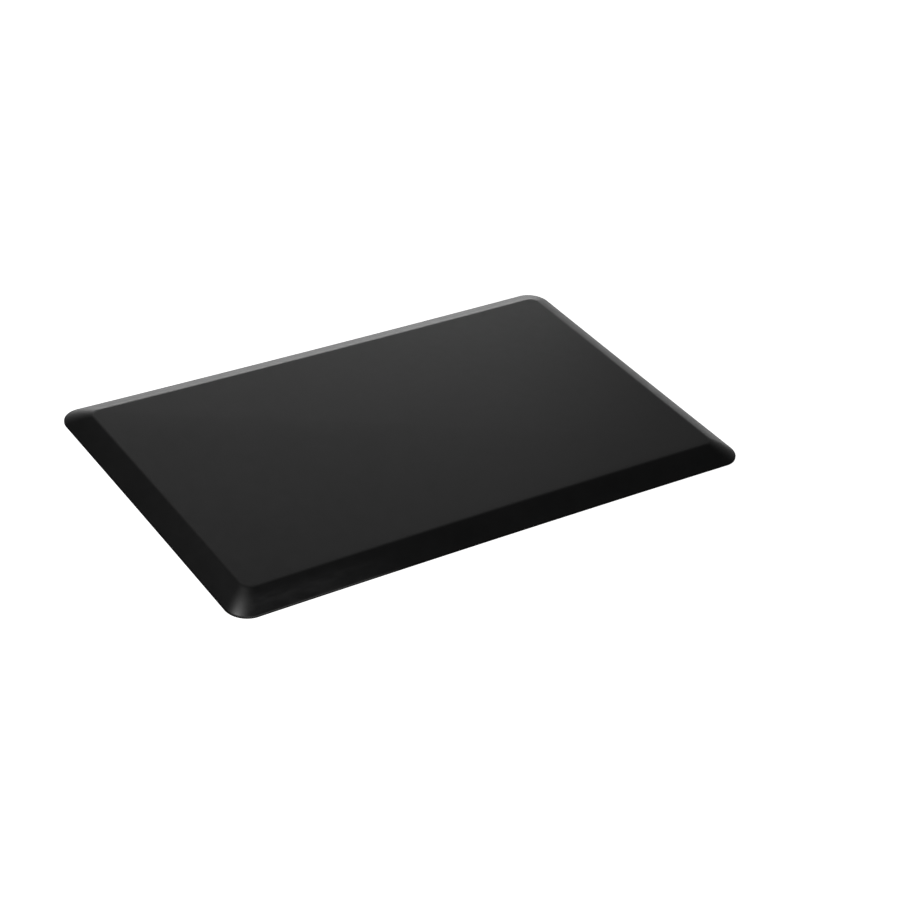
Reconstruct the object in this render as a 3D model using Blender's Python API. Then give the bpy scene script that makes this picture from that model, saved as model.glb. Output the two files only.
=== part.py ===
"""Anti-fatigue mat for standing work: a moulded cover over a foam core, on a non-slip base sheet.

The mat lies flat with its length along X, its width along Y and +Z up. The origin is the middle of
the underside. All sizes are in metres.

Every piece is a stack of plan loops. A loop is the mat's rounded outline, moved in from the edge by
some inset. So each piece is its own cross-section, carried round the outline.
"""

import math

import bmesh
import bpy

# Overall size
MAT_LENGTH = 0.800
MAT_WIDTH = 0.500
MAT_THICKNESS = 0.019

# Edge: an upright lip all round, then a slightly crowned bevel that climbs to the flat top
LIP_HEIGHT = 0.003
LONG_SIDE_BEVEL = 0.0345
SHORT_SIDE_BEVEL = 0.031
BEVEL_CROWN = 0.0009
TOP_EDGE_RADIUS = 0.014

# Plan: rounded corners, and sides that draw in mid-span as moulded foam does when it cools
OUTLINE_CORNER_RADIUS = 0.030
TOP_CORNER_RADIUS = 0.014
LONG_SIDE_DRAW_IN = 0.0022
SHORT_SIDE_DRAW_IN = 0.0005

# Layers
SKIN_THICKNESS = 0.0012
BASE_THICKNESS = 0.0015
PIECE_GAP = 0.0003

# Smoothness of the loops, of the crowned bevel and of the rounded top edge
CORNER_STEPS = 8
LONG_SIDE_STEPS = 12
SHORT_SIDE_STEPS = 6
BEVEL_STEPS = 4
TOP_EDGE_STEPS = 4

# The bevel's mean run, on which the cross-section is drawn
BEVEL_RUN = (LONG_SIDE_BEVEL + SHORT_SIDE_BEVEL) / 2
# The bevel is an arc over the chord from the lip to where it would meet the flat top. Its centre is below.
BEVEL_RISE = MAT_THICKNESS - LIP_HEIGHT
BEVEL_CHORD = math.hypot(BEVEL_RUN, BEVEL_RISE)
BEVEL_RADIUS = BEVEL_CHORD ** 2 / (8 * BEVEL_CROWN) + BEVEL_CROWN / 2
CENTRE_INSET = BEVEL_RUN / 2 + (BEVEL_RADIUS - BEVEL_CROWN) * BEVEL_RISE / BEVEL_CHORD
CENTRE_HEIGHT = LIP_HEIGHT + BEVEL_RISE / 2 - (BEVEL_RADIUS - BEVEL_CROWN) * BEVEL_RUN / BEVEL_CHORD
# Height at which the cover and the core start, above the base sheet
COVER_FOOT = BASE_THICKNESS + PIECE_GAP


def clear_scene():
    """Removes every object, so that the scene holds only the mat."""
    for obj in list(bpy.data.objects):
        bpy.data.objects.remove(obj, do_unlink=True)


def material(name, color, roughness):
    """A plain moulded finish with no metal in it."""
    finish = bpy.data.materials.new(name)
    finish.use_nodes = True
    shader = finish.node_tree.nodes["Principled BSDF"]
    shader.inputs["Base Color"].default_value = (*color, 1.0)
    shader.inputs["Roughness"].default_value = roughness
    shader.inputs["Metallic"].default_value = 0.0
    finish.diffuse_color = (*color, 1.0)
    return finish


def corner_radius(inset):
    """Plan radius of the corners, which tightens evenly from the outline up to the flat top."""
    tightening = (OUTLINE_CORNER_RADIUS - TOP_CORNER_RADIUS) / BEVEL_RUN
    return OUTLINE_CORNER_RADIUS - tightening * inset


def drawn_in(x, y):
    """The point after the sides have drawn in: most at mid-span, and not at all at the corners."""
    mid_length = max(0, 1 - (x / (MAT_LENGTH / 2 - OUTLINE_CORNER_RADIUS)) ** 2)
    mid_width = max(0, 1 - (y / (MAT_WIDTH / 2 - OUTLINE_CORNER_RADIUS)) ** 2)
    return (
        x * (1 - 2 * SHORT_SIDE_DRAW_IN / MAT_LENGTH * mid_width),
        y * (1 - 2 * LONG_SIDE_DRAW_IN / MAT_WIDTH * mid_length),
    )


def corner_arc(centre_x, centre_y, radius, first_quarter):
    """Points of one rounded corner, a quarter turn anticlockwise from the given quarter."""
    points = []
    for step in range(CORNER_STEPS + 1):
        angle = math.pi / 2 * (first_quarter + step / CORNER_STEPS)
        points.append((centre_x + radius * math.cos(angle), centre_y + radius * math.sin(angle)))
    return points


def plan_loop(inset):
    """The outline moved in by inset, anticlockwise from above. Every loop has the same number of points.

    The inset is for the mean bevel, so the long sides move in a little further than the short sides.
    """
    radius = corner_radius(inset)
    centre_x = MAT_LENGTH / 2 - inset * SHORT_SIDE_BEVEL / BEVEL_RUN - radius
    centre_y = MAT_WIDTH / 2 - inset * LONG_SIDE_BEVEL / BEVEL_RUN - radius
    corners = [(centre_x, centre_y), (-centre_x, centre_y), (-centre_x, -centre_y), (centre_x, -centre_y)]
    loop = []
    for quarter, (x, y) in enumerate(corners):
        arc = corner_arc(x, y, radius, quarter)
        next_x, next_y = corners[(quarter + 1) % 4]
        next_start = corner_arc(next_x, next_y, radius, quarter + 1)[0]
        side_steps = LONG_SIDE_STEPS if quarter % 2 == 0 else SHORT_SIDE_STEPS
        loop += arc
        for step in range(1, side_steps):
            share = step / side_steps
            loop.append((
                arc[-1][0] + share * (next_start[0] - arc[-1][0]),
                arc[-1][1] + share * (next_start[1] - arc[-1][1]),
            ))
    return [drawn_in(x, y) for x, y in loop]


def bevel_slope(height, depth):
    """Slope, at a height, of the surface that runs parallel to the bevel at a depth under it."""
    return math.acos((height - CENTRE_HEIGHT) / (BEVEL_RADIUS - depth))


def bevel_arc(depth, first, last):
    """(inset, height) along the surface at a depth under the bevel, from one slope to another."""
    profile = []
    for step in range(BEVEL_STEPS + 1):
        slope = first + (last - first) * step / BEVEL_STEPS
        profile.append((
            CENTRE_INSET - (BEVEL_RADIUS - depth) * math.sin(slope),
            CENTRE_HEIGHT + (BEVEL_RADIUS - depth) * math.cos(slope),
        ))
    return profile


def under_bevel(depth, ceiling):
    """(inset, height) of the surface at a depth under the bevel, from the cover's foot up to a ceiling."""
    return bevel_arc(depth, bevel_slope(COVER_FOOT, depth), bevel_slope(ceiling, depth))


def bevel_and_top_edge():
    """(inset, height) from the lip up the bevel, and round the edge between it and the flat top."""
    edge_height = MAT_THICKNESS - TOP_EDGE_RADIUS
    edge_slope = bevel_slope(edge_height, TOP_EDGE_RADIUS)
    edge_inset = CENTRE_INSET - (BEVEL_RADIUS - TOP_EDGE_RADIUS) * math.sin(edge_slope)
    profile = bevel_arc(0, bevel_slope(LIP_HEIGHT, 0), edge_slope)
    for step in range(1, TOP_EDGE_STEPS + 1):
        slope = edge_slope * (1 - step / TOP_EDGE_STEPS)
        profile.append((
            edge_inset - TOP_EDGE_RADIUS * math.sin(slope),
            edge_height + TOP_EDGE_RADIUS * math.cos(slope),
        ))
    return profile


def loft(name, profile, foot, finish, assembly):
    """One closed piece: plan loops joined in the profile's order, with a flat cap on the first and the last.

    The profile is (inset, height) in the mat's frame. The piece's own origin is at its foot's height.
    """
    mesh = bpy.data.meshes.new(name)
    builder = bmesh.new()
    rings = []
    for inset, height in profile:
        rings.append([builder.verts.new((x, y, height - foot)) for x, y in plan_loop(inset)])
    for lower, upper in zip(rings, rings[1:]):
        for here in range(len(lower)):
            there = (here + 1) % len(lower)
            builder.faces.new((lower[here], lower[there], upper[there], upper[here]))
    builder.faces.new(reversed(rings[0]))
    builder.faces.new(rings[-1])
    bmesh.ops.recalc_face_normals(builder, faces=builder.faces)
    builder.to_mesh(mesh)
    builder.free()
    mesh.materials.append(finish)
    mesh.shade_smooth()
    mesh.set_sharp_from_angle(angle=math.radians(20))
    piece = bpy.data.objects.new(name, mesh)
    piece.location = (0, 0, foot)
    piece.parent = assembly
    bpy.context.scene.collection.objects.link(piece)
    return piece


def top_cover(assembly):
    """Moulded skin: flat top, bevels and lip in one shell, open below where the core goes in."""
    inside = under_bevel(SKIN_THICKNESS, MAT_THICKNESS - SKIN_THICKNESS)
    outside = [(0, COVER_FOOT), *bevel_and_top_edge()]
    finish = material("cover_black_polyurethane", (0.020, 0.020, 0.021), 0.62)
    return loft("top_cover", inside[::-1] + outside, COVER_FOOT, finish, assembly)


def foam_core(assembly):
    """Cushioning foam that fills the cover, with its edges tapered under the bevels."""
    depth = SKIN_THICKNESS + PIECE_GAP
    profile = under_bevel(depth, MAT_THICKNESS - depth)
    finish = material("core_grey_foam", (0.110, 0.110, 0.115), 0.95)
    return loft("foam_core", profile, COVER_FOOT, finish, assembly)


def base_sheet(assembly):
    """Non-slip sheet over the whole underside, whose edge shows below the cover's lip."""
    finish = material("base_black_rubber", (0.024, 0.024, 0.024), 0.80)
    return loft("base_sheet", [(0, 0), (0, BASE_THICKNESS)], 0, finish, assembly)


def main():
    clear_scene()
    assembly = bpy.data.objects.new("anti_fatigue_mat", None)
    bpy.context.scene.collection.objects.link(assembly)
    base_sheet(assembly)
    foam_core(assembly)
    top_cover(assembly)


main()
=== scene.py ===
"""Looks of the anti-fatigue mat: fine meshes and procedural materials, on a white studio floor.

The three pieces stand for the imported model's three nodes. Each is lofted as in the CAD: a cross-section given
as (inset from the outline, height) is carried round the rounded outline. All sizes are in metres.
"""

import math

import bmesh
import bpy
from mathutils import Matrix, Vector


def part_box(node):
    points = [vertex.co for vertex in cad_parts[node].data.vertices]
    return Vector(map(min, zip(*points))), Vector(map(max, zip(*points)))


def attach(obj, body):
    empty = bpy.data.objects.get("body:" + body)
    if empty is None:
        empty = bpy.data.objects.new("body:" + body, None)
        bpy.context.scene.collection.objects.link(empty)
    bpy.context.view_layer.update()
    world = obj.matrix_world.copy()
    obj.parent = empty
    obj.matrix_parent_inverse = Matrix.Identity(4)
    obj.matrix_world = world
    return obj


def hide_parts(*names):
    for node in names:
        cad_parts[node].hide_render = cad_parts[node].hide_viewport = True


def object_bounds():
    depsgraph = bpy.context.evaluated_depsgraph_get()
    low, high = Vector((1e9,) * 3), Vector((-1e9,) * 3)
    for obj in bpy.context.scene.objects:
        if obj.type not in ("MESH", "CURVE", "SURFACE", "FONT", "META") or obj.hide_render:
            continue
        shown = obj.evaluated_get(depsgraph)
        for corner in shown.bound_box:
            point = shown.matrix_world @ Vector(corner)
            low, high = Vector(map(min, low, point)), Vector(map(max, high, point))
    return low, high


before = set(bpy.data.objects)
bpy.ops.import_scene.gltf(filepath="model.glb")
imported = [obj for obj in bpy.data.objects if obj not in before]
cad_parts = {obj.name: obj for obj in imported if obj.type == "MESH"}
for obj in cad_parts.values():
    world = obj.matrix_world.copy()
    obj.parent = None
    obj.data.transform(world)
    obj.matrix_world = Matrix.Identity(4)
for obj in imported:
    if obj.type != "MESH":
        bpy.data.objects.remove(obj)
CAD_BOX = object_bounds()

# Overall size and the layers' heights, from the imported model
LENGTH, WIDTH, THICKNESS = CAD_BOX[1] - CAD_BOX[0]
BASE_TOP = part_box("base_sheet")[1].z
COVER_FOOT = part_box("top_cover")[0].z
CORE_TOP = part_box("foam_core")[1].z

# Edge and corners, as in the CAD
LIP_HEIGHT = 0.003
LONG_SIDE_BEVEL = 0.0345
SHORT_SIDE_BEVEL = 0.031
BEVEL_RUN = (LONG_SIDE_BEVEL + SHORT_SIDE_BEVEL) / 2
BEVEL_CROWN = 0.0009
TOP_EDGE_RADIUS = 0.014
OUTLINE_CORNER_RADIUS = 0.030
TOP_CORNER_RADIUS = 0.014
LONG_SIDE_DRAW_IN = 0.0022
SHORT_SIDE_DRAW_IN = 0.0005
SKIN_THICKNESS = 0.0012

# The bevel is an arc over a chord from the lip to where it would meet the flat top, with its centre below
BEVEL_RISE = THICKNESS - LIP_HEIGHT
BEVEL_CHORD = math.hypot(BEVEL_RUN, BEVEL_RISE)
BEVEL_RADIUS = BEVEL_CHORD ** 2 / (8 * BEVEL_CROWN) + BEVEL_CROWN / 2
CENTRE_INSET = BEVEL_RUN / 2 + (BEVEL_RADIUS - BEVEL_CROWN) * BEVEL_RISE / BEVEL_CHORD
CENTRE_HEIGHT = LIP_HEIGHT + BEVEL_RISE / 2 - (BEVEL_RADIUS - BEVEL_CROWN) * BEVEL_RUN / BEVEL_CHORD

# Fine edges that the CAD leaves sharp, and the trimmed strip of the bevel above the lip
LIP_RADIUS = 0.0008
FOOT_RADIUS = 0.00025
BASE_EDGE_RADIUS = 0.0004
TRIMMED_WIDTH = 0.0005
HEIGHT_TOLERANCE = 0.00005

# Smoothness of the loops and of the edges
CORNER_STEPS = 24
LONG_SIDE_STEPS = 40
SHORT_SIDE_STEPS = 24
BEVEL_STEPS = 12
TOP_EDGE_STEPS = 10
LIP_STEPS = 5
FOOT_STEPS = 3
BASE_EDGE_STEPS = 4

# Grip pattern under the mat: a grid of shallow grooves between square pads
GROOVE_PITCH = 0.012
GROOVE_FLOOR = 0.0014
GROOVE_SLOPE = 0.0006
GROOVE_DEPTH = 0.0007
GROOVES_ALONG = 63
GROOVES_ACROSS = 39
GRIP_BORDER = 0.008

# Colours, each pair the two shades of a surface's clouding; the foam's pair runs from painted shade in its
# pores to its own grey
SKIN_DARK, SKIN_LIGHT = (0.0098, 0.0098, 0.0100), (0.0122, 0.0122, 0.0124)
TRIMMED_DARK, TRIMMED_LIGHT = (0.008, 0.008, 0.008), (0.011, 0.011, 0.011)
FOAM_PORE_SHADE, FOAM_LIGHT = (0.05, 0.05, 0.053), (0.13, 0.13, 0.135)
BASE_DARK, BASE_LIGHT = (0.010, 0.010, 0.010), (0.016, 0.016, 0.016)
# Painted highlight along the rounded edge of the flat top
RIM_HIGHLIGHT = (0.034, 0.034, 0.034)
# Scuff with a painted highlight on the front bevel's left end
SCUFF_AND_HIGHLIGHT = (0.033, 0.033, 0.0335)
# Dust and painted highlight on the front lip's left part
LIP_DUST_AND_HIGHLIGHT = (0.075, 0.075, 0.074)

# Painted highlights, with a scuff and dust. Each range has four places: where the mark starts, is full, begins
# to fade and has gone
# The rim's painted highlight: its drops below the top, and its strength
RIM_HIGHLIGHT_DROPS = (0.0007, 0.0001, 0.00003, 0.000002)
RIM_HIGHLIGHT_STRENGTH = 0.6
# The scuff and its painted highlight on the front bevel
SCUFF_AND_HIGHLIGHT_ALONG = (-0.392, -0.370, -0.300, -0.120)
SCUFF_AND_HIGHLIGHT_ACROSS = (-0.2498, -0.2475, -0.234, -0.220)
SCUFF_AND_HIGHLIGHT_STRETCH = (0.28, 1, 1.6)
SCUFF_AND_HIGHLIGHT_STRENGTH = 0.8
# The lip's dust and painted highlight
LIP_DUST_AND_HIGHLIGHT_ALONG = (-0.402, -0.398, -0.230, -0.140)
LIP_DUST_AND_HIGHLIGHT_ACROSS = (-0.252, -0.251, -0.242, -0.226)

# Floor: how it glows to light rays and to the camera
FLOOR_GLOW = 0.60
FLOOR_SEEN = 1.0
FLOOR_COLOR = (0.9, 0.9, 0.9, 1)
FLOOR_HALF = 40
FLOOR_GAP = 0.0003
WHITE = (1, 1, 1, 1)

# Studio surround: glows behind the mat and in front of it, by the direction that they are seen in
GLOW_AZIMUTH = math.radians(54.7)
GLOW_TOP = 1.0
GLOW_FULL = 0.29
GLOW_SIDE = 0.3
GLOW_FACING = 0.957
GLOW_STRENGTH = 0.257
NEAR_GLOW_START = 0.0
NEAR_GLOW_FULL = -0.75
NEAR_GLOW_STRENGTH = 0.24

# Softboxes: a compact one up on the left, and a wide one low behind
OVERHEAD_PLACE = (-0.886, -0.138, 1.503)
OVERHEAD_TARGET = (-0.3, -0.15, 0)
OVERHEAD_SIZE = (0.171, 0.171)
OVERHEAD_RADIANCE = 86
BACK_AZIMUTH = math.radians(63.0)
BACK_ELEVATION = math.radians(8.3)
BACK_DISTANCE = 2.5
BACK_PLACE = (
    BACK_DISTANCE * math.cos(BACK_ELEVATION) * math.cos(BACK_AZIMUTH),
    BACK_DISTANCE * math.cos(BACK_ELEVATION) * math.sin(BACK_AZIMUTH),
    BACK_DISTANCE * math.sin(BACK_ELEVATION),
)
BACK_TARGET = (0, 0, 0)
BACK_SIZE = (1.8, 0.5)
BACK_RADIANCE = 3.7

# Camera: its target on the floor, and where it stands from there
CAMERA_TARGET = (0.0413, -0.0508)
CAMERA_AZIMUTH = math.radians(-37.28)
CAMERA_ELEVATION = math.radians(33.83)
CAMERA_ROLL = math.radians(6.59)
CAMERA_DISTANCE = 2.950
CAMERA_LENS = 86.655
CAMERA_SENSOR = 36


# ---------------------------------------------------------------- plan and cross-section

def drawn_in(x, y):
    """The point after the sides have drawn in: most at mid-span, and not at all at the corners."""
    mid_length = max(0, 1 - (x / (LENGTH / 2 - OUTLINE_CORNER_RADIUS)) ** 2)
    mid_width = max(0, 1 - (y / (WIDTH / 2 - OUTLINE_CORNER_RADIUS)) ** 2)
    return (
        x * (1 - 2 * SHORT_SIDE_DRAW_IN / LENGTH * mid_width),
        y * (1 - 2 * LONG_SIDE_DRAW_IN / WIDTH * mid_length),
    )


def corner_arc(centre_x, centre_y, radius, first_quarter):
    """Points of one rounded corner, a quarter turn anticlockwise from the given quarter."""
    points = []
    for step in range(CORNER_STEPS + 1):
        angle = math.pi / 2 * (first_quarter + step / CORNER_STEPS)
        points.append((centre_x + radius * math.cos(angle), centre_y + radius * math.sin(angle)))
    return points


def plan_loop(inset):
    """The outline moved in by inset, anticlockwise from above, with corners that tighten up the bevel."""
    radius = OUTLINE_CORNER_RADIUS - (OUTLINE_CORNER_RADIUS - TOP_CORNER_RADIUS) / BEVEL_RUN * inset
    centre_x = LENGTH / 2 - inset * SHORT_SIDE_BEVEL / BEVEL_RUN - radius
    centre_y = WIDTH / 2 - inset * LONG_SIDE_BEVEL / BEVEL_RUN - radius
    centres = [(centre_x, centre_y), (-centre_x, centre_y), (-centre_x, -centre_y), (centre_x, -centre_y)]
    corners = [corner_arc(x, y, radius, quarter) for quarter, (x, y) in enumerate(centres)]
    # The last side runs to the first corner's start, as it is after a full turn
    corners.append(corner_arc(*centres[0], radius, len(centres)))
    loop = []
    for quarter, (corner, next_corner) in enumerate(zip(corners, corners[1:])):
        (x, y), (next_x, next_y) = corner[-1], next_corner[0]
        side_steps = SHORT_SIDE_STEPS if quarter % 2 else LONG_SIDE_STEPS
        shares = [step / side_steps for step in range(1, side_steps)]
        loop += corner
        loop += [(x + share * (next_x - x), y + share * (next_y - y)) for share in shares]
    return [drawn_in(x, y) for x, y in loop]


def arc(centre, radius, low, high, steps):
    """(inset, height) along an arc that bulges up and outward, from the slope low to the slope high."""
    points = []
    for step in range(steps + 1):
        slope = low + (high - low) * step / steps
        points.append((centre[0] - radius * math.sin(slope), centre[1] + radius * math.cos(slope)))
    return points


def bevel_slope(height, depth):
    """Slope, at a height, of the surface that runs parallel to the bevel at a depth under it."""
    return math.acos((height - CENTRE_HEIGHT) / (BEVEL_RADIUS - depth))


def bevel_surface(depth, low, high):
    """(inset, height) along the surface at a depth under the bevel, up to the flat top by a rounded edge."""
    edge_radius = TOP_EDGE_RADIUS - depth
    edge_height = high - edge_radius
    edge_slope = bevel_slope(edge_height, TOP_EDGE_RADIUS)
    edge_inset = CENTRE_INSET - (BEVEL_RADIUS - TOP_EDGE_RADIUS) * math.sin(edge_slope)
    centre = (CENTRE_INSET, CENTRE_HEIGHT)
    bevel = arc(centre, BEVEL_RADIUS - depth, bevel_slope(low, depth), edge_slope, BEVEL_STEPS)
    return bevel + arc((edge_inset, edge_height), edge_radius, edge_slope, 0, TOP_EDGE_STEPS)[1:]


def quarter_round(corner, radius, turn_in, turn_up, steps):
    """(inset, height) round a square outer corner, from its wall to its flat or the other way."""
    centre = (corner[0] + turn_in * radius, corner[1] + turn_up * radius)
    points = []
    for step in range(steps + 1):
        angle = math.pi / 2 * step / steps
        points.append((
            centre[0] - turn_in * radius * math.sin(angle),
            centre[1] - turn_up * radius * math.cos(angle),
        ))
    return points


def add_rings(builder, profile):
    """Vertex rings for a profile, joined with quads. Returns the first and the last ring."""
    rings = []
    for inset, height in profile:
        rings.append([builder.verts.new((x, y, height)) for x, y in plan_loop(inset)])
    for lower, upper in zip(rings, rings[1:]):
        for here in range(len(lower)):
            there = (here + 1) % len(lower)
            builder.faces.new((lower[here], lower[there], upper[there], upper[here]))
    return rings[0], rings[-1]


def closed_loft(profile):
    """A builder with a profile's rings, closed by a flat face at each end."""
    builder = bmesh.new()
    for ring in add_rings(builder, profile):
        builder.faces.new(ring)
    return builder


def finish_piece(name, builder, materials, sharp_degrees):
    """Makes a builder into an object with outward normals, smooth shading and its materials."""
    bmesh.ops.recalc_face_normals(builder, faces=builder.faces)
    mesh = bpy.data.meshes.new(name)
    builder.to_mesh(mesh)
    builder.free()
    for material in materials:
        mesh.materials.append(material)
    mesh.shade_smooth()
    mesh.set_sharp_from_angle(angle=math.radians(sharp_degrees))
    piece = bpy.data.objects.new(name, mesh)
    bpy.context.scene.collection.objects.link(piece)
    return piece


# ---------------------------------------------------------------- node helpers

def new_material(name):
    """A node material, with its tree, its shader and the object's own coordinates."""
    material = bpy.data.materials.new(name)
    material.use_nodes = True
    tree = material.node_tree
    coordinate = tree.nodes.new("ShaderNodeTexCoord").outputs["Object"]
    return material, tree, tree.nodes["Principled BSDF"], coordinate


def axes(tree, vector):
    """A vector's X, Y and Z."""
    node = tree.nodes.new("ShaderNodeSeparateXYZ")
    tree.links.new(vector, node.inputs["Vector"])
    return node.outputs


def noise(tree, coordinate, scale, detail, roughness=0.5):
    """A noise texture."""
    node = tree.nodes.new("ShaderNodeTexNoise")
    node.inputs["Scale"].default_value = scale
    node.inputs["Detail"].default_value = detail
    node.inputs["Roughness"].default_value = roughness
    tree.links.new(coordinate, node.inputs["Vector"])
    return node.outputs["Fac"]


def cells(tree, coordinate, scale):
    """Small cells: the distance from each one's middle."""
    node = tree.nodes.new("ShaderNodeTexVoronoi")
    node.inputs["Scale"].default_value = scale
    tree.links.new(coordinate, node.inputs["Vector"])
    return node.outputs["Distance"]


def ramp(tree, factor, low, high, start=0.35, end=0.65):
    """A colour that runs from low to high as the factor goes from start to end. A number makes a grey."""
    node = tree.nodes.new("ShaderNodeValToRGB")
    for element, position, color in zip(node.color_ramp.elements, (start, end), (low, high)):
        element.position = position
        element.color = (*color, 1) if isinstance(color, tuple) else (color, color, color, 1)
    tree.links.new(factor, node.inputs["Fac"])
    return node.outputs["Color"]


def bump(tree, height, strength, distance, below=None):
    """A bump node, laid over another one if given."""
    node = tree.nodes.new("ShaderNodeBump")
    node.inputs["Strength"].default_value = strength
    node.inputs["Distance"].default_value = distance
    tree.links.new(height, node.inputs["Height"])
    if below is not None:
        tree.links.new(below, node.inputs["Normal"])
    return node.outputs["Normal"]


def combine(tree, operation, first, second):
    """Two values put together by a math operation. The second may be a plain number."""
    node = tree.nodes.new("ShaderNodeMath")
    node.operation = operation
    tree.links.new(first, node.inputs[0])
    if isinstance(second, (int, float)):
        node.inputs[1].default_value = second
    else:
        tree.links.new(second, node.inputs[1])
    return node.outputs["Value"]


def smooth_range(tree, value, start, end, low, high):
    """A value that eases from low to high as another goes from start to end."""
    node = tree.nodes.new("ShaderNodeMapRange")
    node.interpolation_type = "SMOOTHSTEP"
    node.inputs["From Min"].default_value = start
    node.inputs["From Max"].default_value = end
    node.inputs["To Min"].default_value = low
    node.inputs["To Max"].default_value = high
    tree.links.new(value, node.inputs["Value"])
    return node.outputs["Result"]


def mask(tree, value, places):
    """1 where the value is between the two middle places, easing to 0 at the two outer ones."""
    rising = smooth_range(tree, value, places[0], places[1], 0, 1)
    falling = smooth_range(tree, value, places[2], places[3], 1, 0)
    return combine(tree, "MULTIPLY", rising, falling)


def patch(tree, place, along, across):
    """A mask over a patch of the plan, from its places along X and across Y."""
    return combine(tree, "MULTIPLY", mask(tree, place["X"], along), mask(tree, place["Y"], across))


def lighten(tree, color, color_to, factor):
    """A colour mixed towards another by a factor."""
    node = tree.nodes.new("ShaderNodeMix")
    node.data_type = "RGBA"
    tree.links.new(factor, node.inputs["Factor"])
    tree.links.new(color, node.inputs["A"])
    node.inputs["B"].default_value = (*color_to, 1)
    return node.outputs["Result"]


def connect(tree, shader, color, roughness, normal):
    """Feeds a shader with its colour, roughness and bumps."""
    tree.links.new(color, shader.inputs["Base Color"])
    tree.links.new(roughness, shader.inputs["Roughness"])
    tree.links.new(normal, shader.inputs["Normal"])


# ---------------------------------------------------------------- materials

def cover_material():
    """Black moulded skin: satin, with a fine grain, slight clouding, a painted highlight along the rim and a
    faint scuff with a painted highlight.
    """
    material, tree, shader, coordinate = new_material("black_polyurethane_skin")
    place = axes(tree, coordinate)
    shade = ramp(tree, noise(tree, coordinate, scale=9, detail=3), SKIN_DARK, SKIN_LIGHT)
    # The rounded edge of the flat top is painted a little lighter, as a painted highlight
    rim = mask(tree, place["Z"], [THICKNESS - drop for drop in RIM_HIGHLIGHT_DROPS])
    shade = lighten(tree, shade, RIM_HIGHLIGHT, combine(tree, "MULTIPLY", rim, RIM_HIGHLIGHT_STRENGTH))
    # A dusty scuff with a painted highlight runs along the left end of the front bevel
    stretched = tree.nodes.new("ShaderNodeMapping")
    stretched.inputs["Scale"].default_value = SCUFF_AND_HIGHLIGHT_STRETCH
    tree.links.new(coordinate, stretched.inputs["Vector"])
    streaks = noise(tree, stretched.outputs["Vector"], scale=120, detail=5)
    streaks = ramp(tree, streaks, 0.3, 1, start=0.40, end=0.66)
    scuff_and_highlight = combine(tree, "MULTIPLY", patch(tree, place, SCUFF_AND_HIGHLIGHT_ALONG, SCUFF_AND_HIGHLIGHT_ACROSS), streaks)
    shade = lighten(tree, shade, SCUFF_AND_HIGHLIGHT, combine(tree, "MULTIPLY", scuff_and_highlight, SCUFF_AND_HIGHLIGHT_STRENGTH))
    roughness = ramp(tree, noise(tree, coordinate, scale=60, detail=5), 0.36, 0.40)
    pores = bump(tree, cells(tree, coordinate, scale=900), strength=0.06, distance=0.0002)
    grain = noise(tree, coordinate, scale=1600, detail=3, roughness=0.6)
    connect(tree, shader, shade, roughness, bump(tree, grain, strength=0.10, distance=0.0001, below=pores))
    shader.inputs["Specular IOR Level"].default_value = 0.5
    return material


def trimmed_material():
    """The lip where the skin is trimmed: the same black, but dull and without sheen, except for a painted
    highlight with dust at the front left.
    """
    material, tree, shader, coordinate = new_material("trimmed_polyurethane_edge")
    shade = ramp(tree, noise(tree, coordinate, scale=30, detail=3), TRIMMED_DARK, TRIMMED_LIGHT)
    # Dust and a painted highlight lie on the lip under the scuff, and round the front left corner
    dust_and_highlight = patch(tree, axes(tree, coordinate), LIP_DUST_AND_HIGHLIGHT_ALONG, LIP_DUST_AND_HIGHLIGHT_ACROSS)
    shade = lighten(tree, shade, LIP_DUST_AND_HIGHLIGHT, dust_and_highlight)
    roughness = ramp(tree, noise(tree, coordinate, scale=90, detail=3), 0.84, 0.94)
    grain = noise(tree, coordinate, scale=1400, detail=3)
    connect(tree, shader, shade, roughness, bump(tree, grain, strength=0.3, distance=0.0002))
    shader.inputs["Specular IOR Level"].default_value = 0.03
    return material


def foam_material():
    """Dark grey open-cell foam, with painted shade in its pores."""
    material, tree, shader, coordinate = new_material("grey_polyurethane_foam")
    foam_pores = cells(tree, coordinate, scale=700)
    # The pores' middles are painted darker: painted shade in the pits
    shade = ramp(tree, foam_pores, FOAM_PORE_SHADE, FOAM_LIGHT, start=0.1, end=0.6)
    roughness = ramp(tree, noise(tree, coordinate, scale=200, detail=2), 0.86, 0.98)
    connect(tree, shader, shade, roughness, bump(tree, foam_pores, strength=0.7, distance=0.0008))
    return material


def base_material():
    """Black non-slip rubber: duller than the cover, with a fine dusty grain."""
    material, tree, shader, coordinate = new_material("black_rubber_base")
    shade = ramp(tree, noise(tree, coordinate, scale=40, detail=4), BASE_DARK, BASE_LIGHT)
    roughness = ramp(tree, noise(tree, coordinate, scale=120, detail=3), 0.66, 0.78)
    grain = noise(tree, coordinate, scale=1200, detail=3)
    connect(tree, shader, shade, roughness, bump(tree, grain, strength=0.25, distance=0.0002))
    shader.inputs["Specular IOR Level"].default_value = 0.3
    return material


# ---------------------------------------------------------------- pieces

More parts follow.
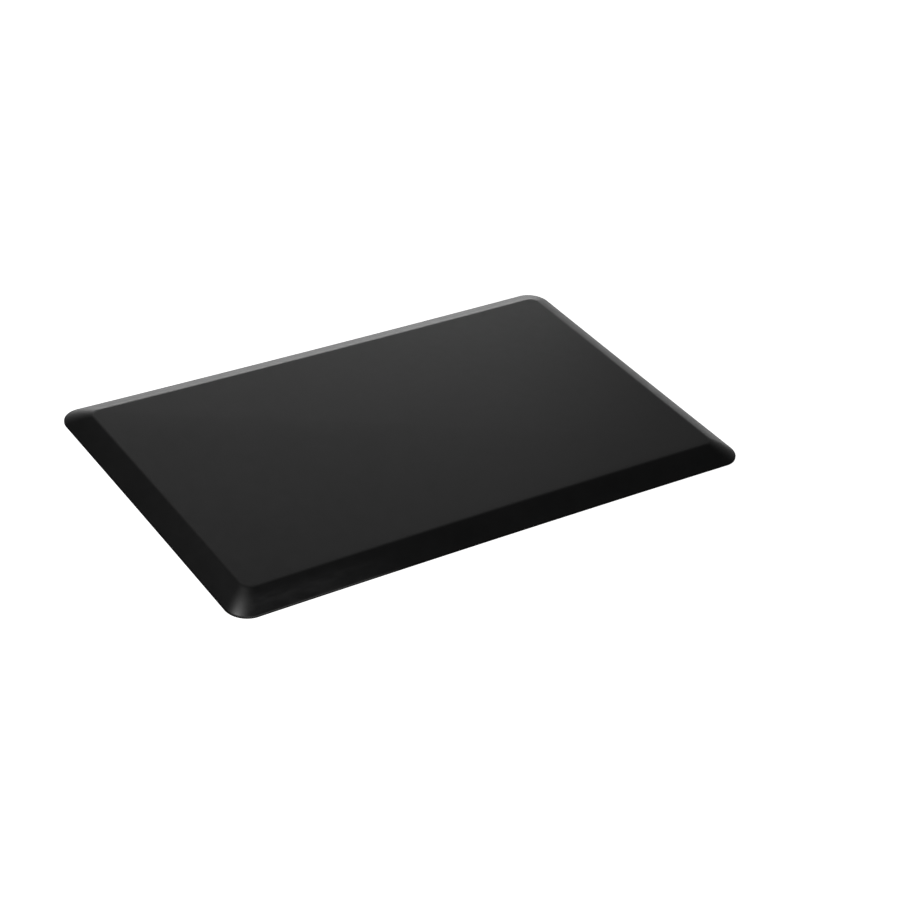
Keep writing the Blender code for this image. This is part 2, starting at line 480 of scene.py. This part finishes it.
def make_cover():
    """The moulded skin: a shell with flat top, bevels and upright lip, open below for the foam."""
    inside = bevel_surface(SKIN_THICKNESS, COVER_FOOT, THICKNESS - SKIN_THICKNESS)
    foot = quarter_round((0, COVER_FOOT), FOOT_RADIUS, 1, 1, FOOT_STEPS)
    outside = bevel_surface(0, LIP_HEIGHT, THICKNESS)
    # The lip's top edge is a short arc between the upright wall and the bevel
    first_slope = bevel_slope(LIP_HEIGHT, 0)
    cut = LIP_RADIUS * math.tan((math.pi / 2 - first_slope) / 2)
    lip = arc((LIP_RADIUS, LIP_HEIGHT - cut), LIP_RADIUS, math.pi / 2, first_slope, LIP_STEPS)
    # The trimmed material covers the lip and the first strip of the bevel
    trim_slope = math.asin((CENTRE_INSET - TRIMMED_WIDTH) / BEVEL_RADIUS)
    trim_height = CENTRE_HEIGHT + BEVEL_RADIUS * math.cos(trim_slope)
    builder = closed_loft(inside[::-1] + foot + lip + [(TRIMMED_WIDTH, trim_height)] + outside[1:])
    for face in builder.faces:
        low_down = max(corner.co.z for corner in face.verts) < trim_height + HEIGHT_TOLERANCE
        face.material_index = int(low_down and face.calc_center_median().z > COVER_FOOT)
    piece = finish_piece("cover_skin", builder, [cover_material(), trimmed_material()], sharp_degrees=50)
    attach(piece, "root")
    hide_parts("top_cover")


def make_foam():
    """The foam slab under the skin, with its sides cut to the bevels' slope."""
    builder = closed_loft(bevel_surface(THICKNESS - CORE_TOP, COVER_FOOT, CORE_TOP))
    piece = finish_piece("foam_pad", builder, [foam_material()], sharp_degrees=35)
    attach(piece, "root")
    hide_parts("foam_core")


def groove_lines(count):
    """Grid lines across a row of grooves, centred, with each line's height: floor or land."""
    lines = []
    for groove in range(count):
        centre = (groove - (count - 1) / 2) * GROOVE_PITCH
        floor, land = GROOVE_FLOOR / 2, GROOVE_FLOOR / 2 + GROOVE_SLOPE
        lines += [(centre - land, 0), (centre - floor, GROOVE_DEPTH)]
        lines += [(centre + floor, GROOVE_DEPTH), (centre + land, 0)]
    return lines


def add_grip_pattern(builder):
    """The grooved grid on the underside. Returns the edges round its border."""
    columns, rows = groove_lines(GROOVES_ALONG), groove_lines(GROOVES_ACROSS)
    points = [[builder.verts.new((x, y, max(rise_x, rise_y))) for y, rise_y in rows] for x, rise_x in columns]
    # The grid's outermost lines are land all along
    for point in points[0] + points[-1]:
        point.co.z = 0
    for column in points:
        column[0].co.z = 0
        column[-1].co.z = 0
    faces = []
    for left, right in zip(points, points[1:]):
        for row in range(len(left) - 1):
            faces.append(builder.faces.new((left[row], left[row + 1], right[row + 1], right[row])))
    return [edge for face in faces for edge in face.edges if edge.is_boundary]


def make_base():
    """The non-slip sheet: rounded edge, flat border, and the grooved grip pattern below."""
    upper_edge = quarter_round((0, BASE_TOP), BASE_EDGE_RADIUS, 1, -1, BASE_EDGE_STEPS)
    lower_edge = quarter_round((0, 0), BASE_EDGE_RADIUS, 1, 1, BASE_EDGE_STEPS)
    profile = [(BEVEL_RUN, BASE_TOP)] + upper_edge + lower_edge[::-1] + [(GRIP_BORDER, 0)]
    builder = bmesh.new()
    first, last = add_rings(builder, profile)
    builder.faces.new(first)
    border = add_grip_pattern(builder)
    border += [builder.edges.get(pair) for pair in zip(last, last[1:] + last[:1])]
    bmesh.ops.triangle_fill(builder, edges=border, use_beauty=True)
    piece = finish_piece("base_grip_sheet", builder, [base_material()], sharp_degrees=25)
    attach(piece, "root")
    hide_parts("base_sheet")


# ---------------------------------------------------------------- stage, light and camera

def link_mix(tree, factor, first, second, output):
    """Mixes two shaders by a factor, into the tree's output node."""
    mixed = tree.nodes.new("ShaderNodeMixShader")
    tree.links.new(factor, mixed.inputs["Fac"])
    tree.links.new(first, mixed.inputs[1])
    tree.links.new(second, mixed.inputs[2])
    tree.links.new(mixed.outputs["Shader"], tree.nodes[output].inputs["Surface"])


def make_floor():
    """A white floor that glows a little, so that it stays white beside the dark mat."""
    material = bpy.data.materials.new("white_floor")
    material.use_nodes = True
    tree = material.node_tree
    shader = tree.nodes["Principled BSDF"]
    shader.inputs["Base Color"].default_value = FLOOR_COLOR
    shader.inputs["Roughness"].default_value = 1
    shader.inputs["Specular IOR Level"].default_value = 0
    shader.inputs["Emission Color"].default_value = WHITE
    # The camera sees a floor that is white all over, and the mat is lit by a dimmer one
    glow = tree.nodes.new("ShaderNodeMapRange")
    glow.inputs["To Min"].default_value = FLOOR_GLOW
    glow.inputs["To Max"].default_value = FLOOR_SEEN
    tree.links.new(tree.nodes.new("ShaderNodeLightPath").outputs["Is Camera Ray"], glow.inputs["Value"])
    tree.links.new(glow.outputs["Result"], shader.inputs["Emission Strength"])
    # From below the floor can be seen through, and light reaches the underside
    backfacing = tree.nodes.new("ShaderNodeNewGeometry").outputs["Backfacing"]
    clear = tree.nodes.new("ShaderNodeBsdfTransparent")
    link_mix(tree, backfacing, shader.outputs["BSDF"], clear.outputs["BSDF"], "Material Output")
    mesh = bpy.data.meshes.new("floor")
    corners = [(-1, -1), (1, -1), (1, 1), (-1, 1)]
    mesh.from_pydata([(x * FLOOR_HALF, y * FLOOR_HALF, 0) for x, y in corners], [], [(0, 1, 2, 3)])
    mesh.materials.append(material)
    floor = bpy.data.objects.new("floor", mesh)
    floor.location.z = CAD_BOX[0].z - FLOOR_GAP
    bpy.context.scene.collection.objects.link(floor)


def make_world():
    """Studio surround: soft low glows behind the mat and in front of it, and plain white to the camera."""
    world = bpy.data.worlds.new("studio")
    bpy.context.scene.world = world
    world.use_nodes = True
    tree = world.node_tree
    direction = tree.nodes.new("ShaderNodeTexCoord").outputs["Generated"]
    along = axes(tree, direction)
    facing = tree.nodes.new("ShaderNodeVectorMath")
    facing.operation = "DOT_PRODUCT"
    facing.inputs[1].default_value = Vector((math.cos(GLOW_AZIMUTH), math.sin(GLOW_AZIMUTH), 0))
    tree.links.new(direction, facing.inputs[0])
    far_side = smooth_range(tree, facing.outputs["Value"], GLOW_SIDE, GLOW_FACING, 0, GLOW_STRENGTH)
    near_side = smooth_range(tree, along["Y"], NEAR_GLOW_FULL, NEAR_GLOW_START, NEAR_GLOW_STRENGTH, 0)
    low_down = smooth_range(tree, along["Z"], GLOW_TOP, GLOW_FULL, 0, 1)
    strength = combine(tree, "MULTIPLY", combine(tree, "ADD", far_side, near_side), low_down)
    light = tree.nodes["Background"]
    light.inputs["Color"].default_value = WHITE
    tree.links.new(strength, light.inputs["Strength"])
    seen = tree.nodes.new("ShaderNodeBackground")
    seen.inputs["Color"].default_value = WHITE
    camera_ray = tree.nodes.new("ShaderNodeLightPath").outputs["Is Camera Ray"]
    link_mix(tree, camera_ray, light.outputs["Background"], seen.outputs["Background"], "World Output")


def add_softbox(name, position, target, size, radiance):
    """A rectangular soft light that faces its target, as bright as a surface of that radiance."""
    lamp = bpy.data.lights.new(name, "AREA")
    lamp.shape = "RECTANGLE"
    lamp.size, lamp.size_y = size
    lamp.energy = math.pi * size[0] * size[1] * radiance
    softbox = bpy.data.objects.new(name, lamp)
    softbox.location = position
    softbox.rotation_euler = (Vector(target) - Vector(position)).to_track_quat("-Z", "Y").to_euler()
    bpy.context.scene.collection.objects.link(softbox)


def make_camera():
    """Looks down from the front left, turned a little about its own axis."""
    target = Vector((*CAMERA_TARGET, CAD_BOX[0].z))
    back = Vector((
        math.sin(CAMERA_AZIMUTH) * math.cos(CAMERA_ELEVATION),
        -math.cos(CAMERA_AZIMUTH) * math.cos(CAMERA_ELEVATION),
        math.sin(CAMERA_ELEVATION),
    ))
    right = (-back).cross(Vector((0, 0, 1))).normalized()
    up = right.cross(-back)
    turned_right = right * math.cos(CAMERA_ROLL) + up * math.sin(CAMERA_ROLL)
    turned_up = up * math.cos(CAMERA_ROLL) - right * math.sin(CAMERA_ROLL)
    data = bpy.data.cameras.new("camera")
    data.sensor_width = CAMERA_SENSOR
    data.lens = CAMERA_LENS
    camera = bpy.data.objects.new("camera", data)
    turn = Matrix((turned_right, turned_up, back)).transposed()
    camera.matrix_world = Matrix.Translation(target + back * CAMERA_DISTANCE) @ turn.to_4x4()
    bpy.context.scene.collection.objects.link(camera)
    bpy.context.scene.camera = camera


bpy.context.scene.view_settings.view_transform = "Standard"
make_camera()
make_world()
add_softbox("overhead_softbox", OVERHEAD_PLACE, OVERHEAD_TARGET, OVERHEAD_SIZE, OVERHEAD_RADIANCE)
add_softbox("back_softbox", BACK_PLACE, BACK_TARGET, BACK_SIZE, BACK_RADIANCE)
make_floor()
make_base()
make_foam()
make_cover()
